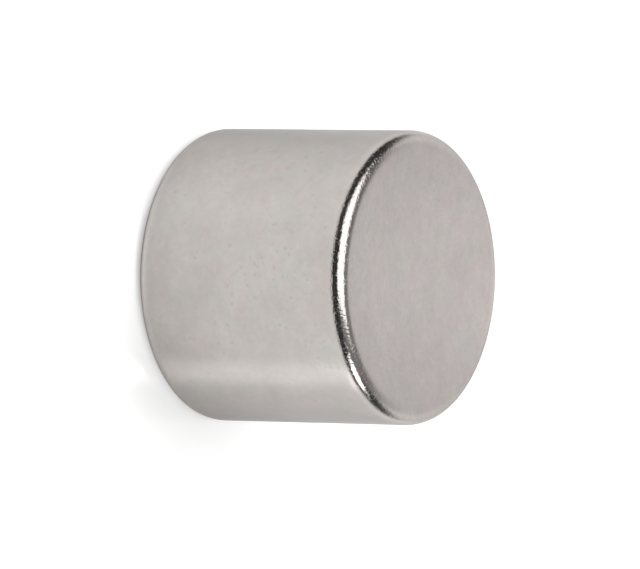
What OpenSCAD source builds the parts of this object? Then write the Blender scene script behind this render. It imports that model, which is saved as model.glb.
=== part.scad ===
// Disc magnet: one solid, pressed and sintered, ground to size, tumbled and plated all over.
// It is magnetised along its axis, so the two flat ends are its poles.
// Z runs along the axis, and the origin is the centre of the pole face that it stands on.

/* [Magnet] */
// Diameter over the plating
diameter = 12; // [4:0.5:40]
// Length from one pole face to the other
length = 10; // [3:0.5:40]

/* [Edges] */
// Radius that tumbling leaves round each pole face
edge_radius = 0.55; // [0.1:0.05:1.2]

/* [Hidden] */

plating_colour = [0.76, 0.74, 0.72];
side_radius = diameter / 2;
flat_radius = side_radius - edge_radius;
straight_length = length - 2 * edge_radius;

// Half of the section along the axis: the full width between the two rounded edges,
// the full length inside them, and a round at each corner that meets both in line.
module half_section() {
    translate([0, edge_radius])
        square([side_radius, straight_length]);
    square([flat_radius, length]);
    for (z = [edge_radius, length - edge_radius])
        translate([flat_radius, z])
            circle(r = edge_radius, $fn = 64);
}

module magnet() {
    color(plating_colour)
        rotate_extrude($fn = 180)
            half_section();
}

magnet();
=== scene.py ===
import math

import bpy
from mathutils import Matrix, Vector, noise


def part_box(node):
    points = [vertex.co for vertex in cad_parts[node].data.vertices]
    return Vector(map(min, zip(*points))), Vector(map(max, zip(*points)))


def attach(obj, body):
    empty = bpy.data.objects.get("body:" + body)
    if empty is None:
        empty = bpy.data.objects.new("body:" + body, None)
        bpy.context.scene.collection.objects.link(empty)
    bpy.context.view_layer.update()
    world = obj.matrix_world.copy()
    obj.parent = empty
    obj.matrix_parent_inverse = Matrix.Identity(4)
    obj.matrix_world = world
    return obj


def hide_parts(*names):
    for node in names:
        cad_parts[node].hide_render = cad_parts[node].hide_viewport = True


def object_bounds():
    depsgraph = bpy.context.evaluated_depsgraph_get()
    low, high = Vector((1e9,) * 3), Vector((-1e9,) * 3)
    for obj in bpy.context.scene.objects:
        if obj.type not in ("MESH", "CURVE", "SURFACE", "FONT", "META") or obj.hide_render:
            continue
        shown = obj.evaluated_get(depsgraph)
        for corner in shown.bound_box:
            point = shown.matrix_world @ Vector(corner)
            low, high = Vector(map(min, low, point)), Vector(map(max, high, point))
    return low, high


mm = 0.001  # the scene is in metres

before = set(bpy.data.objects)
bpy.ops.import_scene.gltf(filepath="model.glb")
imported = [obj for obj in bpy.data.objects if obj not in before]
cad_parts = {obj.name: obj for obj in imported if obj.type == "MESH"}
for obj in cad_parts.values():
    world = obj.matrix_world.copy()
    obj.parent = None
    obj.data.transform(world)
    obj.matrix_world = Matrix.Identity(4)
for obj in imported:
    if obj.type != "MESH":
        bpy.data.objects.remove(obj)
cadLow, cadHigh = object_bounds()
print("frame loaded:", ", ".join(sorted(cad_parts)))


# small helpers for node trees

def addNode(tree, kind, place, inputs=None, **settings):
    node = tree.nodes.new(kind)
    node.location = place
    for name, value in settings.items():
        setattr(node, name, value)
    for name, value in (inputs or {}).items():
        node.inputs[name].default_value = value
    return node


def addMath(tree, operation, place, first, second=None, clamp=False):
    node = addNode(tree, "ShaderNodeMath", place, operation=operation, use_clamp=clamp)
    for socket, value in zip(node.inputs, (first, second)):
        if value is None:
            continue
        if isinstance(value, (int, float)):
            socket.default_value = value
        else:
            tree.links.new(value, socket)
    return node.outputs[0]


def newMaterial(name):
    material = bpy.data.materials.new(name)
    material.use_nodes = True
    material.node_tree.nodes.clear()
    return material, material.node_tree


# the plating's own surface: fine grain, slow ripple, scattered pits and a faint drift of tone

plating = {
    "fineNoise": {"Detail": 1.0, "Roughness": 0.5},  # grain and ripple
    "toneNoise": {"Detail": 6.0, "Roughness": 0.88},
    "warmthNoise": {"Detail": 5.0, "Roughness": 0.88},
    "toneShift": 31.0,  # mm, so that tone and warmth don't follow the ripple
    "warmthShift": 57.0,
    "pitFloor": 0.6,  # of a pit's full depth, where its floor levels off
    "pitClusters": (0.44, 0.54),  # of the tone, where pits begin and where none is missing
}


def makePlatingGroup():
    tree = bpy.data.node_groups.new("platingSurface", "ShaderNodeTree")
    sockets = tree.interface
    sockets.new_socket("Position", in_out="INPUT", socket_type="NodeSocketVector")  # in mm
    for name in ("Grain Per Mm", "Grain Depth", "Ripple Per Mm", "Ripple Depth",
                 "Pits Per Mm", "Pit Radius", "Pit Depth", "Tone Per Mm", "Patches Per Mm"):
        sockets.new_socket(name, in_out="INPUT", socket_type="NodeSocketFloat")
    for name in ("Height", "Pits", "Grain", "Tone", "Warmth"):
        sockets.new_socket(name, in_out="OUTPUT", socket_type="NodeSocketFloat")
    given = addNode(tree, "NodeGroupInput", (-1100, 0)).outputs
    result = addNode(tree, "NodeGroupOutput", (700, 0))

    def noiseAt(place, scale, inputs, shift=0.0):
        node = addNode(tree, "ShaderNodeTexNoise", place, inputs)
        tree.links.new(given[scale], node.inputs["Scale"])
        source = given["Position"]
        if shift:
            moved = addNode(tree, "ShaderNodeVectorMath", (place[0] - 200, place[1]), operation="ADD")
            moved.inputs[1].default_value = (shift, shift, shift)
            tree.links.new(source, moved.inputs[0])
            source = moved.outputs[0]
        tree.links.new(source, node.inputs["Vector"])
        return node.outputs["Fac"]

    grain = noiseAt((-700, 400), "Grain Per Mm", plating["fineNoise"])
    ripple = noiseAt((-700, 150), "Ripple Per Mm", plating["fineNoise"])
    tone = noiseAt((-700, -450), "Tone Per Mm", plating["toneNoise"], plating["toneShift"])
    warmth = noiseAt((-700, -700), "Patches Per Mm", plating["warmthNoise"], plating["warmthShift"])

    # each pit is a small round dimple about a scattered point, and each has a size of its own
    cells = addNode(tree, "ShaderNodeTexVoronoi", (-700, -150), feature="F1")
    tree.links.new(given["Position"], cells.inputs["Vector"])
    tree.links.new(given["Pits Per Mm"], cells.inputs["Scale"])
    apart = addMath(tree, "DIVIDE", (-500, -150), cells.outputs["Distance"], given["Pits Per Mm"])
    ownRadius = addMath(tree, "MULTIPLY", (-500, -300), cells.outputs["Color"], given["Pit Radius"])
    share = addMath(tree, "DIVIDE", (-320, -150), apart, ownRadius)
    inside = addMath(tree, "SUBTRACT", (-140, -150), 1.0, share, clamp=True)
    dimple = addMath(tree, "SMOOTH_MIN", (40, -150), inside, plating["pitFloor"])
    # they come in clusters, and most of the skin is clean
    begin, full = plating["pitClusters"]
    clusters = addNode(tree, "ShaderNodeMapRange", (-320, -350), {"From Min": begin, "From Max": full})
    tree.links.new(tone, clusters.inputs["Value"])
    pits = addMath(tree, "MULTIPLY", (120, -250), dimple, clusters.outputs[0])

    def scaled(place, value, depth):
        centred = addMath(tree, "SUBTRACT", place, value, 0.5)
        return addMath(tree, "MULTIPLY", (place[0] + 180, place[1]), centred, given[depth])

    relief = addMath(tree, "ADD", (160, 300), scaled((-300, 400), grain, "Grain Depth"),
                     scaled((-300, 150), ripple, "Ripple Depth"))
    dent = addMath(tree, "MULTIPLY", (220, -100), pits, given["Pit Depth"])
    height = addMath(tree, "SUBTRACT", (400, 200), relief, dent)
    for name, value in (("Height", height), ("Pits", pits), ("Grain", grain),
                        ("Tone", tone), ("Warmth", warmth)):
        tree.links.new(value, result.inputs[name])
    return tree


nickel = {
    "coolColour": (0.528, 0.513, 0.482, 1),
    "warmColour": (0.560, 0.504, 0.491, 1),
    "patchesFrom": (0.38, 0.62),  # of the warmth noise, where it is all cool and all warm
    "sideWarmth": -0.12,  # added on the side: below 0 leans to the cool colour
    "poleWarmth": 0.22,  # added on the pole faces
    "glancingTint": (0.59, 0.59, 0.59, 1),
    "toneSpread": 0.09,  # how far the tone drifts either way
    "toneFrom": (0.3, 0.7),  # of the tone noise, where it is darkest and lightest
    "edgeBrightness": 1.18,  # the polished edges reflect more than the satin flats
    "pitPaintedShade": 0.24,  # how much painted shade darkens a pit
    "flatRoughness": 0.24,  # the ground and plated flats
    "edgeRoughness": 0.09,  # the tumbled edges
    "flatGrainRoughness": 0.03,  # added on the tops of the grain
    "edgeGrainRoughness": 0.22,
    "grainTopsFrom": (0.52, 0.75),  # of the grain, where its tops start and are full
    "flatMetal": 0.93,  # the rest of the light is scattered by the satin flats
    "grainPerMm": 14.0,
    "flatGrain": 0.0018,  # mm deep
    "edgeGrain": 0.0105,
    "ripplePerMm": 3.0,
    "rippleDepth": 0.0026,
    "pitsPerMm": 3.4,
    "pitRadius": 0.125,  # of the largest
    "pitDepth": 0.0045,
    "polePits": 0.35,  # how strong the pits' dents and their painted shade are on the pole faces, where 1 is as on the side
    "tonePerMm": 0.45,
    "patchesPerMm": 0.8,  # of warm and cool colour
}


def makeNickel(surface):
    material, tree = newMaterial("nickelPlate")
    link = tree.links.new
    position = addNode(tree, "ShaderNodeTexCoord", (-1300, 0)).outputs["Object"]
    inMm = addNode(tree, "ShaderNodeVectorMath", (-1100, 0), operation="SCALE")
    inMm.inputs["Scale"].default_value = 1 / mm
    link(position, inMm.inputs[0])
    group = addNode(tree, "ShaderNodeGroup", (-850, 0), node_tree=surface)
    link(inMm.outputs[0], group.inputs["Position"])
    for socket, value in (("Grain Per Mm", "grainPerMm"),
                          ("Ripple Per Mm", "ripplePerMm"), ("Ripple Depth", "rippleDepth"),
                          ("Pits Per Mm", "pitsPerMm"), ("Pit Radius", "pitRadius"),
                          ("Tone Per Mm", "tonePerMm"), ("Patches Per Mm", "patchesPerMm")):
        group.inputs[socket].default_value = nickel[value]

    tumbled = addNode(tree, "ShaderNodeAttribute", (-1300, -450), attribute_name="tumbled")
    pole = addNode(tree, "ShaderNodeAttribute", (-1300, 800), attribute_name="poleFace")

    # colour: warm and cool patches, a slow drift of tone, and painted shade that darkens the pits
    colour = addNode(tree, "ShaderNodeMix", (-500, 350), data_type="RGBA")
    colour.inputs["A"].default_value = nickel["coolColour"]
    colour.inputs["B"].default_value = nickel["warmColour"]
    cool, warm = nickel["patchesFrom"]
    patches = addNode(tree, "ShaderNodeMapRange", (-650, 550), {"From Min": cool, "From Max": warm})
    link(group.outputs["Warmth"], patches.inputs["Value"])
    lean = addNode(tree, "ShaderNodeMapRange", (-1100, 800), {
        "To Min": nickel["sideWarmth"], "To Max": nickel["poleWarmth"]})
    link(pole.outputs["Fac"], lean.inputs["Value"])
    link(addMath(tree, "ADD", (-450, 650), patches.outputs[0], lean.outputs[0], clamp=True),
         colour.inputs["Factor"])
    darkest, lightest = nickel["toneFrom"]
    drift = addNode(tree, "ShaderNodeMapRange", (-500, 150), {
        "From Min": darkest, "From Max": lightest,
        "To Min": 1 - nickel["toneSpread"], "To Max": 1 + nickel["toneSpread"]})
    link(group.outputs["Tone"], drift.inputs["Value"])
    faint = addNode(tree, "ShaderNodeMapRange", (-1300, 350), {
        "To Min": 1.0, "To Max": nickel["polePits"]})
    link(pole.outputs["Fac"], faint.inputs["Value"])
    pitDepth = addMath(tree, "MULTIPLY", (-1100, 350), faint.outputs[0], nickel["pitDepth"])
    link(pitDepth, group.inputs["Pit Depth"])
    # painted shade: the colour is darkened inside each pit, less so on the pole faces
    pitPaintedShade = addMath(tree, "MULTIPLY", (-700, -100), faint.outputs[0], nickel["pitPaintedShade"])
    paintedPitDarkening = addMath(tree, "MULTIPLY", (-500, -100), group.outputs["Pits"], pitPaintedShade)
    even = addMath(tree, "SUBTRACT", (-300, 50), drift.outputs[0], paintedPitDarkening)
    polished = addNode(tree, "ShaderNodeMapRange", (-500, 900), {
        "To Min": 1.0, "To Max": nickel["edgeBrightness"]})
    link(tumbled.outputs["Fac"], polished.inputs["Value"])
    bright = addMath(tree, "MULTIPLY", (-200, 500), even, polished.outputs[0])
    shaded = addNode(tree, "ShaderNodeVectorMath", (-100, 300), operation="SCALE")
    link(colour.outputs["Result"], shaded.inputs[0])
    link(bright, shaded.inputs["Scale"])

    # satin on the flats, polished but pebbled where tumbling has rounded the edge
    grain = addNode(tree, "ShaderNodeMapRange", (-1100, -250), {
        "To Min": nickel["flatGrain"], "To Max": nickel["edgeGrain"]})
    link(tumbled.outputs["Fac"], grain.inputs["Value"])
    link(grain.outputs[0], group.inputs["Grain Depth"])
    rough = addNode(tree, "ShaderNodeMapRange", (-500, -350), {
        "To Min": nickel["flatRoughness"], "To Max": nickel["edgeRoughness"]})
    link(tumbled.outputs["Fac"], rough.inputs["Value"])
    start, full = nickel["grainTopsFrom"]
    tops = addNode(tree, "ShaderNodeMapRange", (-700, -620), {"From Min": start, "From Max": full})
    link(group.outputs["Grain"], tops.inputs["Value"])
    topped = addNode(tree, "ShaderNodeMapRange", (-700, -880), {
        "To Min": nickel["flatGrainRoughness"], "To Max": nickel["edgeGrainRoughness"]})
    link(tumbled.outputs["Fac"], topped.inputs["Value"])
    uneven = addMath(tree, "MULTIPLY", (-500, -620), tops.outputs[0], topped.outputs[0])
    roughness = addMath(tree, "ADD", (-100, -450), rough.outputs[0], uneven, clamp=True)

    bump = addNode(tree, "ShaderNodeBump", (-100, -150), {"Distance": mm})
    link(group.outputs["Height"], bump.inputs["Height"])
    metal = addNode(tree, "ShaderNodeMapRange", (-500, -1100), {"To Min": nickel["flatMetal"]})
    link(tumbled.outputs["Fac"], metal.inputs["Value"])
    shader = addNode(tree, "ShaderNodeBsdfPrincipled", (150, 100), {"Specular Tint": nickel["glancingTint"]})
    link(metal.outputs[0], shader.inputs["Metallic"])
    link(shaded.outputs[0], shader.inputs["Base Color"])
    link(roughness, shader.inputs["Roughness"])
    link(bump.outputs["Normal"], shader.inputs["Normal"])
    link(shader.outputs[0], addNode(tree, "ShaderNodeOutputMaterial", (450, 100)).inputs["Surface"])
    return material


# the magnet: its half section turned about the axis, with the softer corner that tumbling leaves

magnet = {
    "edgeReach": 0.70,  # mm that the rounding runs down the side and in over the pole face
    "edgeFullness": 2.6,  # 2 would be a true quarter round, and more fades out longer into the flats
    "poleFall": 0.015,  # mm that a pole face falls off from its middle to its edge
    "poleFallPower": 3.0,
    "turns": 720,
    "edgeSteps": 30,
    "sideSteps": 20,
    "poleSteps": 20,
    "waveSize": 1.7,  # mm from one shallow dip in the skin to the next
    "waveDepth": 0.0015,
    "sharpFrom": 18.0,  # degrees of slope between the satin flats and the polished edge
}


def halfSection(radius, length):
    reach = magnet["edgeReach"] * mm
    power = 2 / magnet["edgeFullness"]
    flat = radius - reach
    fall = magnet["poleFall"] * mm

    def poleHeight(across):
        return length / 2 - fall * (across / radius) ** magnet["poleFallPower"]

    # from the middle of the upper pole face out to its edge, then down to mid-height:
    # each point is its distance from the axis, its height, its polish and its share of pole face
    inner = [flat * i / magnet["poleSteps"] for i in range(magnet["poleSteps"])]
    points = [(across, poleHeight(across), 0.0, 1.0) for across in inner]
    for i in range(magnet["edgeSteps"] + 1):
        turn = math.pi / 2 * (1 - i / magnet["edgeSteps"])
        out = max(math.cos(turn), 0.0) ** power
        up = max(math.sin(turn), 0.0) ** power
        slope = 90.0
        if up < 1:
            slope = math.degrees(math.atan((up / out) ** (magnet["edgeFullness"] - 1)))
        polish = min(1.0, min(slope, 90 - slope) / magnet["sharpFrom"])
        across = flat + reach * out
        points.append((across, poleHeight(across) - reach * (1 - up), polish, turn * 2 / math.pi))
    bend = points[-1][1]
    half = magnet["sideSteps"] // 2
    points += [(radius, bend * (1 - i / half), 0.0, 0.0) for i in range(1, half + 1)]
    lower = [(across, -height, polish, pole) for across, height, polish, pole in reversed(points[:-1])]
    return points + lower


def makeMagnet(material):
    low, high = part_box("magnet")
    size = high - low
    radius = min(size.x, size.y) / 2
    middle = (low.z + high.z) / 2
    section = halfSection(radius, size.z)
    turns = magnet["turns"]
    vertices = []
    polish = []
    poles = []
    rings = section[1:-1]
    for across, height, shine, pole in rings:
        for i in range(turns):
            angle = 2 * math.pi * i / turns
            vertices.append(Vector((across * math.cos(angle), across * math.sin(angle), middle + height)))
            polish.append(shine)
            poles.append(pole)
    top = len(vertices)
    vertices += [Vector((0, 0, middle + section[0][1])), Vector((0, 0, middle + section[-1][1]))]
    polish += [0.0, 0.0]
    poles += [1.0, 1.0]
    faces = []
    for ring in range(len(rings) - 1):
        for i in range(turns):
            here = ring * turns + i
            beside = ring * turns + (i + 1) % turns
            faces.append((here, here + turns, beside + turns, beside))
    last = (len(rings) - 1) * turns
    for i in range(turns):
        faces.append((top, i, (i + 1) % turns))
        faces.append((top + 1, last + (i + 1) % turns, last + i))

    mesh = bpy.data.meshes.new("magnetBody")
    mesh.from_pydata(vertices, [], faces)
    mesh.polygons.foreach_set("use_smooth", [True] * len(faces))
    mesh.update()
    # the plated skin is never quite true: it dips a micron or two here and there
    normals = [vertex.normal.copy() for vertex in mesh.vertices]
    for vertex, normal in zip(mesh.vertices, normals):
        wave = noise.noise(vertex.co / (magnet["waveSize"] * mm))
        vertex.co -= normal * magnet["waveDepth"] * mm * min(1.0, max(0.0, 0.5 + wave))
    for name, values in (("tumbled", polish), ("poleFace", poles)):
        mesh.attributes.new(name, "FLOAT", "POINT").data.foreach_set("value", values)
    mesh.materials.append(material)
    body = bpy.data.objects.new("magnetBody", mesh)
    bpy.context.scene.collection.objects.link(body)
    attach(body, "root")
    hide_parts("magnet")
    return body


body = makeMagnet(makeNickel(makePlatingGroup()))
print("magnet made:", sum(len(face.vertices) - 2 for face in body.data.polygons), "triangles")


# the studio: a pale floor under a dome, with white paper behind the magnet and a dark room in front,
# a white card, two softboxes that the metal mirrors, and three that only fill in

studio = {
    "floorColour": (0.76, 0.76, 0.76, 1),
    "floorGlow": 0.40,  # that the camera sees
    "floorGlowMirrored": 0.20,  # that the metal shows
    "floorRoughness": 0.12,
    "roomRadius": 3.0,
    "roomColumns": 96,
    "roomRows": 24,
    "roomTurn": 4.0,  # degrees that its lighter side is turned towards +X
    "roomSpill": 0.3,  # of the room's light that falls on the floor
    "roomLevel": 0.047,  # the dark room in front, where the camera stands
    "ceilingLevel": 0.24,  # the ceiling, and the walls behind the magnet
    "ceilingFrom": (0.67, 0.82),  # of the dome's height, where it starts and is full
    "ceilingLean": 0.12,  # how much lower it hangs towards +X
    "wallFrom": (0.35, 0.88),  # of the way back, in the same way
    "backdropLevel": 0.85,
    "backdropWidth": (36.0, 55.0),  # degrees either side of straight behind, where its fade starts and ends
    "backdropTop": (31.0, 50.5),  # degrees above the floor, in the same way
    "cardLevel": 1.11,
    "cardWidth": 9.2,  # mm
    "cardBottom": 8.0,
    "cardTop": 52.5,
    "cardDistance": 52.5,
    "ambient": 0.5,  # of the world, where it isn't seen
    "topHeight": 1.5,
    "topX": (-1.18, 0.29),  # from side to side, in lamp heights from the magnet
    "topY": (-0.90, 0.33),
    "topLevel": 1.58,
    "fillX": (-1.25, 0.15),
    "fillY": (-0.10, 1.10),
    "fillLevel": 2.15,  # the metal mirrors neither this one nor the two beside it
    "sideDistance": 1.7,
    "sideAzimuth": 83.0,  # degrees from the front, towards +X
    "sideElevation": 27.0,
    "sideWidth": 17.5,  # degrees
    "sideHeight": 27.0,
    "sideLevel": 4.6,
    "fillAzimuths": (-88.0, 84.0),
    "fillElevation": 35.0,
    "fillWidth": 30.0,
    "sideFillLevel": 2.2,
}


def makeWorld():
    world = bpy.data.worlds.new("studioWorld")
    bpy.context.scene.world = world
    world.use_nodes = True
    tree = world.node_tree
    tree.nodes.clear()
    rays = addNode(tree, "ShaderNodeLightPath", (-600, 0)).outputs
    mirrored = addMath(tree, "MAXIMUM", (-400, 0), rays["Is Glossy Ray"], rays["Is Transmission Ray"])
    seen = addMath(tree, "MAXIMUM", (-200, 0), rays["Is Camera Ray"], mirrored)
    strength = addNode(tree, "ShaderNodeMapRange", (0, 0), {"To Min": studio["ambient"], "To Max": 1.0})
    tree.links.new(seen, strength.inputs["Value"])
    background = addNode(tree, "ShaderNodeBackground", (200, 0), {"Color": (1, 1, 1, 1)})
    tree.links.new(strength.outputs[0], background.inputs["Strength"])
    tree.links.new(background.outputs[0], addNode(tree, "ShaderNodeOutputWorld", (400, 0)).inputs["Surface"])


def makeFloor():
    material, tree = newMaterial("floorPale")
    shader = addNode(tree, "ShaderNodeBsdfPrincipled", (0, 0), {
        "Base Color": studio["floorColour"], "Roughness": studio["floorRoughness"]})
    rays = addNode(tree, "ShaderNodeLightPath", (-800, 200)).outputs
    mirrored = addMath(tree, "MAXIMUM", (-600, 200), rays["Is Glossy Ray"], rays["Is Transmission Ray"])
    seen = addMath(tree, "MULTIPLY", (-400, 400), rays["Is Camera Ray"], studio["floorGlow"])
    shown = addMath(tree, "MULTIPLY", (-400, 200), mirrored, studio["floorGlowMirrored"])
    shader.inputs["Emission Color"].default_value = (1, 1, 1, 1)
    tree.links.new(addMath(tree, "ADD", (-200, 200), seen, shown), shader.inputs["Emission Strength"])
    tree.links.new(shader.outputs[0], addNode(tree, "ShaderNodeOutputMaterial", (300, 0)).inputs["Surface"])
    half = studio["roomRadius"]
    corners = [(-half, -half, 0), (half, -half, 0), (half, half, 0), (-half, half, 0)]
    mesh = bpy.data.meshes.new("floor")
    mesh.from_pydata(corners, [], [(0, 1, 2, 3)])
    mesh.materials.append(material)
    floor = bpy.data.objects.new("floor", mesh)
    floor.location.z = cadLow.z
    bpy.context.scene.collection.objects.link(floor)


def onRoom(azimuth, elevation, distance):
    # azimuth 0 is the front, where the camera stands, and 90 is towards +X
    a = math.radians(azimuth)
    e = math.radians(elevation)
    return Vector((math.sin(a) * math.cos(e), -math.cos(a) * math.cos(e), math.sin(e))) * distance


def fade(tree, place, value, start, end):
    node = addNode(tree, "ShaderNodeMapRange", place, {
        "From Min": start, "From Max": end}, interpolation_type="SMOOTHSTEP")
    tree.links.new(value, node.inputs["Value"])
    return node.outputs[0]


def mixLevel(tree, place, factor, first, second):
    node = addNode(tree, "ShaderNodeMix", place, data_type="FLOAT")
    tree.links.new(factor, node.inputs["Factor"])
    for socket, value in (("A", first), ("B", second)):
        if isinstance(value, (int, float)):
            node.inputs[socket].default_value = value
        else:
            tree.links.new(value, node.inputs[socket])
    return node.outputs["Result"]


def makeRoom():
    # one dome round the floor: white paper behind the magnet that fades into a dark room
    material, tree = newMaterial("roomShade")
    link = tree.links.new
    place = addNode(tree, "ShaderNodeTexCoord", (-1400, 0)).outputs["Object"]
    toward = addNode(tree, "ShaderNodeVectorMath", (-1200, 0), operation="NORMALIZE")
    link(place, toward.inputs[0])
    split = addNode(tree, "ShaderNodeSeparateXYZ", (-1000, 0))
    link(toward.outputs[0], split.inputs[0])
    flat = addNode(tree, "ShaderNodeVectorMath", (-1000, -250), operation="MULTIPLY")
    flat.inputs[1].default_value = (1, 1, 0)
    link(toward.outputs[0], flat.inputs[0])
    reach = addNode(tree, "ShaderNodeVectorMath", (-800, -250), operation="LENGTH")
    link(flat.outputs[0], reach.inputs[0])
    behind = addMath(tree, "DIVIDE", (-600, -150), split.outputs["Y"], reach.outputs["Value"])
    wide = [math.cos(math.radians(angle)) for angle in studio["backdropWidth"]]
    tall = [math.sin(math.radians(angle)) for angle in studio["backdropTop"]]
    across = fade(tree, (-350, -150), behind, wide[1], wide[0])
    upward = fade(tree, (-350, 100), split.outputs["Z"], tall[1], tall[0])
    paper = addMath(tree, "MULTIPLY", (-100, 0), across, upward)
    back = fade(tree, (-350, 350), split.outputs["Y"], *studio["wallFrom"])
    leaning = addMath(tree, "MULTIPLY", (-750, 600), split.outputs["X"], studio["ceilingLean"])
    lowered = addMath(tree, "ADD", (-550, 600), split.outputs["Z"], leaning)
    over = fade(tree, (-350, 600), lowered, *studio["ceilingFrom"])
    lighter = addMath(tree, "MAXIMUM", (-100, 400), back, over)
    grey = mixLevel(tree, (100, 300), lighter, studio["roomLevel"], studio["ceilingLevel"])
    level = mixLevel(tree, (300, 100), paper, grey, studio["backdropLevel"])
    glow = addNode(tree, "ShaderNodeEmission", (500, 100), {"Color": (1, 1, 1, 1)})
    # what the metal mirrors is at full level, and what falls on the floor is less
    rays = addNode(tree, "ShaderNodeLightPath", (100, -300)).outputs
    mirrored = addMath(tree, "MAXIMUM", (300, -300), rays["Is Glossy Ray"], rays["Is Transmission Ray"])
    dimmed = addMath(tree, "MULTIPLY", (300, -100), level, studio["roomSpill"])
    link(mixLevel(tree, (500, -100), mirrored, dimmed, level), glow.inputs["Strength"])
    link(glow.outputs[0], addNode(tree, "ShaderNodeOutputMaterial", (700, 100)).inputs["Surface"])

    columns = studio["roomColumns"]
    rows = studio["roomRows"]
    points = [onRoom(360 * i / columns, 90 * j / rows, studio["roomRadius"])
              for i in range(columns) for j in range(rows + 1)]
    faces = []
    for i in range(columns):
        for j in range(rows):
            here = i * (rows + 1) + j
            beside = (i + 1) % columns * (rows + 1) + j
            faces.append((here, beside, beside + 1, here + 1))
    mesh = bpy.data.meshes.new("roomShade")
    mesh.from_pydata(points, [], faces)
    mesh.materials.append(material)
    room = bpy.data.objects.new("roomShade", mesh)
    bpy.context.scene.collection.objects.link(room)
    room.rotation_euler.z = -math.radians(studio["roomTurn"])
    room.visible_camera = False  # the camera sees the white surroundings from every side


def makeCard():
    # a narrow white card close behind, which brightens the middle of the pole face
    material, tree = newMaterial("cardWhite")
    glow = addNode(tree, "ShaderNodeEmission", (0, 0), {
        "Color": (1, 1, 1, 1), "Strength": studio["cardLevel"]})
    tree.links.new(glow.outputs[0], addNode(tree, "ShaderNodeOutputMaterial", (200, 0)).inputs["Surface"])
    half = studio["cardWidth"] * mm / 2
    y = studio["cardDistance"] * mm
    low, high = (cadLow.z + studio[edge] * mm for edge in ("cardBottom", "cardTop"))
    corners = [(-half, y, low), (half, y, low), (half, y, high), (-half, y, high)]
    mesh = bpy.data.meshes.new("backCard")
    mesh.from_pydata(corners, [], [(0, 1, 2, 3)])
    mesh.materials.append(material)
    card = bpy.data.objects.new("backCard", mesh)
    bpy.context.scene.collection.objects.link(card)
    card.visible_camera = False


def makeSoftbox(name, place, aim, width, height, level, mirrored):
    lamp = bpy.data.lights.new(name, "AREA")
    lamp.shape = "RECTANGLE"
    lamp.size = width
    lamp.size_y = height
    lamp.energy = level * math.pi * width * height  # level 1 looks white
    box = bpy.data.objects.new(name, lamp)
    box.location = place
    box.rotation_mode = "QUATERNION"
    box.rotation_quaternion = (aim - place).to_track_quat("-Z", "Y")
    box.visible_camera = False
    box.visible_glossy = mirrored
    bpy.context.scene.collection.objects.link(box)


def makeOverhead(name, acrossX, acrossY, level, mirrored):
    height = studio["topHeight"]
    left, right = (height * x for x in acrossX)
    front, back = (height * y for y in acrossY)
    place = Vector(((left + right) / 2, (front + back) / 2, height))
    makeSoftbox(name, place, place - Vector((0, 0, 1)), right - left, back - front, level, mirrored)


def makeBeside(name, azimuth, elevation, width, height, level, mirrored):
    away = studio["sideDistance"]
    wide, tall = (2 * away * math.tan(math.radians(angle / 2)) for angle in (width, height))
    middle = Vector((0, 0, (cadLow.z + cadHigh.z) / 2))
    makeSoftbox(name, onRoom(azimuth, elevation, away), middle, wide, tall, level, mirrored)


def makeLights():
    makeOverhead("softboxTop", studio["topX"], studio["topY"], studio["topLevel"], True)
    makeOverhead("softboxFill", studio["fillX"], studio["fillY"], studio["fillLevel"], False)
    makeBeside("softboxSide", studio["sideAzimuth"], studio["sideElevation"],
               studio["sideWidth"], studio["sideHeight"], studio["sideLevel"], True)
    for name, azimuth in zip(("fillLeft", "fillRight"), studio["fillAzimuths"]):
        makeBeside(name, azimuth, studio["fillElevation"],
                   studio["fillWidth"], studio["fillWidth"], studio["sideFillLevel"], False)


makeWorld()
makeFloor()
makeRoom()
makeCard()
makeLights()
print("studio made")


# the camera looks down on the standing magnet and is rolled on its side, so the magnet's axis
# lies across the picture

view = {
    "elevation": 33.51,
    "roll": 91.01,
    "distance": 0.42,
    "pixelsAcross": 640,
    "pixelsPerMm": 24.477,  # at the magnet
    "aimRight": 0.0597,  # mm that the picture's centre lies right of the magnet's centre
    "aimDown": 0.3400,
    "sensorWidth": 36,
    "clipEnd": 10,
}


def makeCamera():
    data = bpy.data.cameras.new("camera")
    data.sensor_width = view["sensorWidth"]
    pictureWidth = view["pixelsAcross"] / view["pixelsPerMm"]
    data.lens = data.sensor_width * view["distance"] / (pictureWidth * mm)
    data.clip_end = view["clipEnd"]
    camera = bpy.data.objects.new("camera", data)
    tilt = Matrix.Rotation(math.radians(90 - view["elevation"]), 3, "X")
    turn = tilt @ Matrix.Rotation(math.radians(view["roll"]), 3, "Z")
    right, up, back = turn.col[0], turn.col[1], turn.col[2]
    aim = Vector((0, 0, (cadLow.z + cadHigh.z) / 2))
    aim += right * view["aimRight"] * mm - up * view["aimDown"] * mm
    camera.rotation_euler = turn.to_euler()
    camera.location = aim + back * view["distance"]
    bpy.context.scene.collection.objects.link(camera)
    bpy.context.scene.camera = camera


makeCamera()
bpy.context.scene.view_settings.view_transform = "Standard"
print("camera made")
